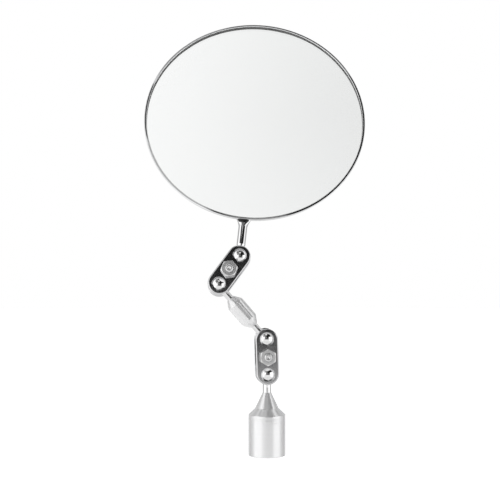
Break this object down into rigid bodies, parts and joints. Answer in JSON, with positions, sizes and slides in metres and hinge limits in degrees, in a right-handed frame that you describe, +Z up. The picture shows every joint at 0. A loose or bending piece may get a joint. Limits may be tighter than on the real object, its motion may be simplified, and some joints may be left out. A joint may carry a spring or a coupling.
{
  "type": "inspection mirror",
  "caption": "Round mirror in a thin bright rim on a short stem, held by two double ball-joint clamps and a link, ending in a turned socket for a pole.",
  "frame": {"origin": "centre of the socket's open mouth, where a pole screws in", "axes": "+Z up the socket's axis towards the mirror, the mirror looks towards -Y and leans back, +X to the right seen from the front"},
  "size_m": [0.0849, 0.0463, 0.1649],
  "materials": {
    "rim_chrome": "bright chrome plate on rolled strip",
    "neck_chrome": "bright chrome plate, turned",
    "clamp_plate": "polished plate with fine wear",
    "polished_ball": "polished steel ball",
    "screw_steel": "bright zinc plate",
    "washer_steel": "dull spring steel",
    "satin_aluminium": "satin, fine turning rings",
    "clear_glass": "clear, polished",
    "silvering": "silver layer behind glass",
    "grey_card": "plain card",
    "tinned_sheet": "bright rolled sheet"
  },
  "bodies": {
    "socket": {"pole_socket": "satin_aluminium"},
    "socket_neck": {"socket_stud": "neck_chrome"},
    "socket_ball": {"socket_ball": "polished_ball"},
    "lower_clamp": {"lower_clamp_front_plate": "clamp_plate", "lower_clamp_back_plate": "clamp_plate", "lower_clamp_screw": "screw_steel", "lower_clamp_lock_washer": "washer_steel", "lower_clamp_nut": "screw_steel"},
    "link_lower_ball": {"link_lower_ball": "polished_ball"},
    "link_lower_neck": {"link_lower_stud": "neck_chrome"},
    "link_sleeve": {"link_sleeve": "satin_aluminium"},
    "link_upper_neck": {"link_upper_stud": "neck_chrome"},
    "link_upper_ball": {"link_upper_ball": "polished_ball"},
    "upper_clamp": {"upper_clamp_front_plate": "clamp_plate", "upper_clamp_back_plate": "clamp_plate", "upper_clamp_screw": "screw_steel", "upper_clamp_lock_washer": "washer_steel", "upper_clamp_nut": "screw_steel"},
    "mirror_ball": {"mirror_ball": "polished_ball"},
    "mirror_neck": {"mirror_stem": "neck_chrome"},
    "mirror_head": {"stem_foot": "neck_chrome", "rim": "rim_chrome", "mirror_glass": "clear_glass", "silvering": "silvering", "backing_card": "grey_card", "back_sheet": "tinned_sheet"}
  },
  "joints": [
    {"name": "socket_twist", "type": "hinge", "parent": "socket", "child": "socket_neck", "pos_m": [0, 0, 0.0299], "axis": [0, 0, 1], "continuous": true},
    {"name": "socket_tilt", "type": "hinge", "parent": "socket_neck", "child": "socket_ball", "pos_m": [0, 0, 0.0299], "axis": [0.9925, 0.1219, 0], "range_deg": [-8, 8]},
    {"name": "socket_swing", "type": "hinge", "parent": "socket_ball", "child": "lower_clamp", "pos_m": [0, 0, 0.0299], "axis": [-0.1219, 0.9925, 0], "range_deg": [-110, 110]},
    {"name": "link_lower_swing", "type": "hinge", "parent": "lower_clamp", "child": "link_lower_ball", "pos_m": [-0.00043, -0.00005, 0.04289], "axis": [0.1219, -0.9925, 0], "range_deg": [-125, 72]},
    {"name": "link_lower_tilt", "type": "hinge", "parent": "link_lower_ball", "child": "link_lower_neck", "pos_m": [-0.00043, -0.00005, 0.04289], "axis": [-0.745, -0.0915, -0.6607], "range_deg": [-9, 10]},
    {"name": "link_lower_twist", "type": "hinge", "parent": "link_lower_neck", "child": "link_sleeve", "pos_m": [-0.00043, -0.00005, 0.04289], "axis": [-0.6571, -0.0698, 0.7506], "continuous": true},
    {"name": "link_upper_twist", "type": "hinge", "parent": "link_sleeve", "child": "link_upper_neck", "pos_m": [-0.01765, -0.00188, 0.06256], "axis": [-0.6571, -0.0698, 0.7506], "continuous": true},
    {"name": "link_upper_tilt", "type": "hinge", "parent": "link_upper_neck", "child": "link_upper_ball", "pos_m": [-0.01765, -0.00188, 0.06256], "axis": [0.7365, 0.1529, 0.6589], "range_deg": [-0.3, 23]},
    {"name": "link_upper_swing", "type": "hinge", "parent": "link_upper_ball", "child": "upper_clamp", "pos_m": [-0.01765, -0.00188, 0.06256], "axis": [-0.0171, 0.978, -0.2079], "range_deg": [-140, 32]},
    {"name": "mirror_swing", "type": "hinge", "parent": "upper_clamp", "child": "mirror_ball", "pos_m": [-0.01002, 0.00044, 0.07283], "axis": [0.0171, -0.978, 0.2079], "range_deg": [-95, 72]},
    {"name": "mirror_tilt", "type": "hinge", "parent": "mirror_ball", "child": "mirror_neck", "pos_m": [-0.01002, 0.00044, 0.07283], "axis": [0.9945, -0.005, -0.1051], "range_deg": [-0.3, 21]},
    {"name": "mirror_twist", "type": "hinge", "parent": "mirror_neck", "child": "mirror_head", "pos_m": [-0.01002, 0.00044, 0.07283], "axis": [0.099, 0.3831, 0.9184], "continuous": true}
  ]
}
